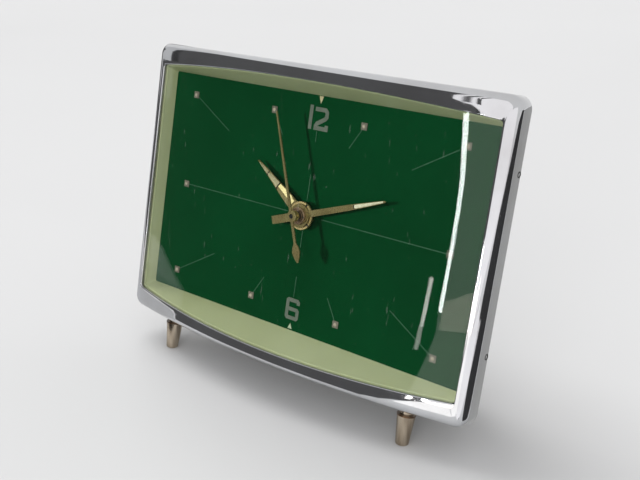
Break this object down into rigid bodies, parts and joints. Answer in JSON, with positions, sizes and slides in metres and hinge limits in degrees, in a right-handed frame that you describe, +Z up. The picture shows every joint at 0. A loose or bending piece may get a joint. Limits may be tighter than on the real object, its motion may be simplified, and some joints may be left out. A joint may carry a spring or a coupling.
{
  "type": "desk clock",
  "caption": "Leaning rectangular desk clock with a bulged chrome rim, green dial, gilt hands and a wound mechanical movement.",
  "frame": {"origin": "on the floor plane, midway between the front of the rim and the end of the winding key, on the middle plane", "axes": "+X to the right as the dial is read, +Y from the dial to the back, +Z up; the clock leans back 12.6 degrees"},
  "size_m": [0.1424, 0.0664, 0.1069],
  "materials": {
    "chrome": "polished plating, lightly pitted",
    "clear_acrylic": "clear, fine scratches",
    "cream_plastic": "satin, yellowed",
    "green_enamel": "deep green satin paint",
    "cover_enamel": "grey satin enamel",
    "foot_nickel": "worn nickel over brass",
    "bright_nickel": "nickel plate",
    "gilt": "gilt, satin",
    "brass": "brushed brass",
    "steel": "turned steel",
    "spring_steel": "blued strip"
  },
  "bodies": {
    "case": {"rim": "chrome", "lens": "clear_acrylic", "dial_insert": "cream_plastic", "dial": "green_enamel", "back_cover": "cover_enamel", "cover_screws": "steel", "front_foot_left": "foot_nickel", "front_foot_right": "foot_nickel", "rear_foot": "foot_nickel", "dial_posts": "brass", "front_plate": "brass", "back_plate": "brass", "pillars": "brass", "pillar_nuts": "steel", "mainspring": "spring_steel", "spring_post": "steel", "hairspring_stud": "brass", "balance_bearings": "brass"},
    "hour_work": {"hour_hand": "gilt", "hour_wheel": "brass"},
    "minute_work": {"minute_hand": "gilt", "cannon_pinion": "steel", "hand_nut": "brass"},
    "setting_work": {"minute_wheel": "brass", "set_arbor": "steel", "set_knob": "bright_nickel"},
    "seconds_work": {"second_hand": "gilt", "fourth_wheel": "brass", "seconds_arbor": "steel"},
    "third_work": {"third_wheel": "brass", "third_arbor": "steel"},
    "centre_work": {"centre_wheel": "brass", "centre_arbor": "steel"},
    "great_work": {"great_wheel": "brass", "click_spring": "spring_steel"},
    "click_work": {"click": "steel"},
    "winding_work": {"winding_arbor": "steel", "ratchet_wheel": "steel", "winding_key": "bright_nickel"},
    "escape_work": {"escape_wheel": "brass", "escape_arbor": "steel"},
    "pallet_work": {"pallet_lever": "brass", "pallet_arbor": "steel"},
    "balance_work": {"balance_wheel": "brass", "balance_staff": "steel", "hairspring": "spring_steel"},
    "regulator_work": {"regulator": "brass"}
  },
  "joints": [
    {"name": "minute_turn", "type": "hinge", "parent": "case", "child": "minute_work", "pos_m": [0, 0.0014, 0.05507], "axis": [0, 0.9759, -0.2181], "continuous": true},
    {"name": "hour_turn", "type": "hinge", "parent": "case", "child": "hour_work", "pos_m": [0, 0.0014, 0.05507], "axis": [0, 0.9759, -0.2181], "continuous": true},
    {"name": "set_turn", "type": "hinge", "parent": "case", "child": "setting_work", "pos_m": [0.00243, -0.00161, 0.04161], "axis": [0, 0.9759, -0.2181], "continuous": true},
    {"name": "seconds_turn", "type": "hinge", "parent": "case", "child": "seconds_work", "pos_m": [0, 0.0014, 0.05507], "axis": [0, 0.9759, -0.2181], "continuous": true},
    {"name": "third_turn", "type": "hinge", "parent": "case", "child": "third_work", "pos_m": [0.00648, 0.00385, 0.06602], "axis": [0, 0.9759, -0.2181], "continuous": true},
    {"name": "centre_turn", "type": "hinge", "parent": "case", "child": "centre_work", "pos_m": [0, 0.0014, 0.05507], "axis": [0, 0.9759, -0.2181], "continuous": true},
    {"name": "great_turn", "type": "hinge", "parent": "case", "child": "great_work", "pos_m": [-0.0246, 0.0014, 0.05507], "axis": [0, 0.9759, -0.2181], "continuous": true},
    {"name": "escape_turn", "type": "hinge", "parent": "case", "child": "escape_work", "pos_m": [0.01201, 0.00045, 0.0508], "axis": [0, 0.9759, -0.2181], "continuous": true},
    {"name": "winding_turn", "type": "hinge", "parent": "great_work", "child": "winding_work", "pos_m": [-0.0246, 0.0014, 0.05507], "axis": [0, 0.9759, -0.2181], "range_deg": [0, 1800]},
    {"name": "click_lift", "type": "hinge", "parent": "great_work", "child": "click_work", "pos_m": [-0.0246, 0.00343, 0.06414], "axis": [0, 0.9759, -0.2181], "range_deg": [-10, 0], "stiffness_Nm_per_rad": 0.00002},
    {"name": "pallet_rock", "type": "hinge", "parent": "case", "child": "pallet_work", "pos_m": [0.02162, 0.00008, 0.04915], "axis": [0, 0.9759, -0.2181], "range_deg": [-3, 3]},
    {"name": "balance_swing", "type": "hinge", "parent": "case", "child": "balance_work", "pos_m": [0.03245, -0.00034, 0.04729], "axis": [0, 0.9759, -0.2181], "range_deg": [-220, 220], "stiffness_Nm_per_rad": 0.000022},
    {"name": "regulator_move", "type": "hinge", "parent": "case", "child": "regulator_work", "pos_m": [0.03245, -0.00034, 0.04729], "axis": [0, 0.9759, -0.2181], "range_deg": [-20, 20]}
  ],
  "couplings": [
    {"joint": "hour_turn", "follows": "minute_turn", "ratio": 0.083333},
    {"joint": "set_turn", "follows": "minute_turn", "ratio": -0.33333},
    {"joint": "third_turn", "follows": "seconds_turn", "ratio": -0.13333},
    {"joint": "centre_turn", "follows": "seconds_turn", "ratio": 0.016667},
    {"joint": "great_turn", "follows": "seconds_turn", "ratio": -0.0023148},
    {"joint": "escape_turn", "follows": "seconds_turn", "ratio": -8}
  ]
}
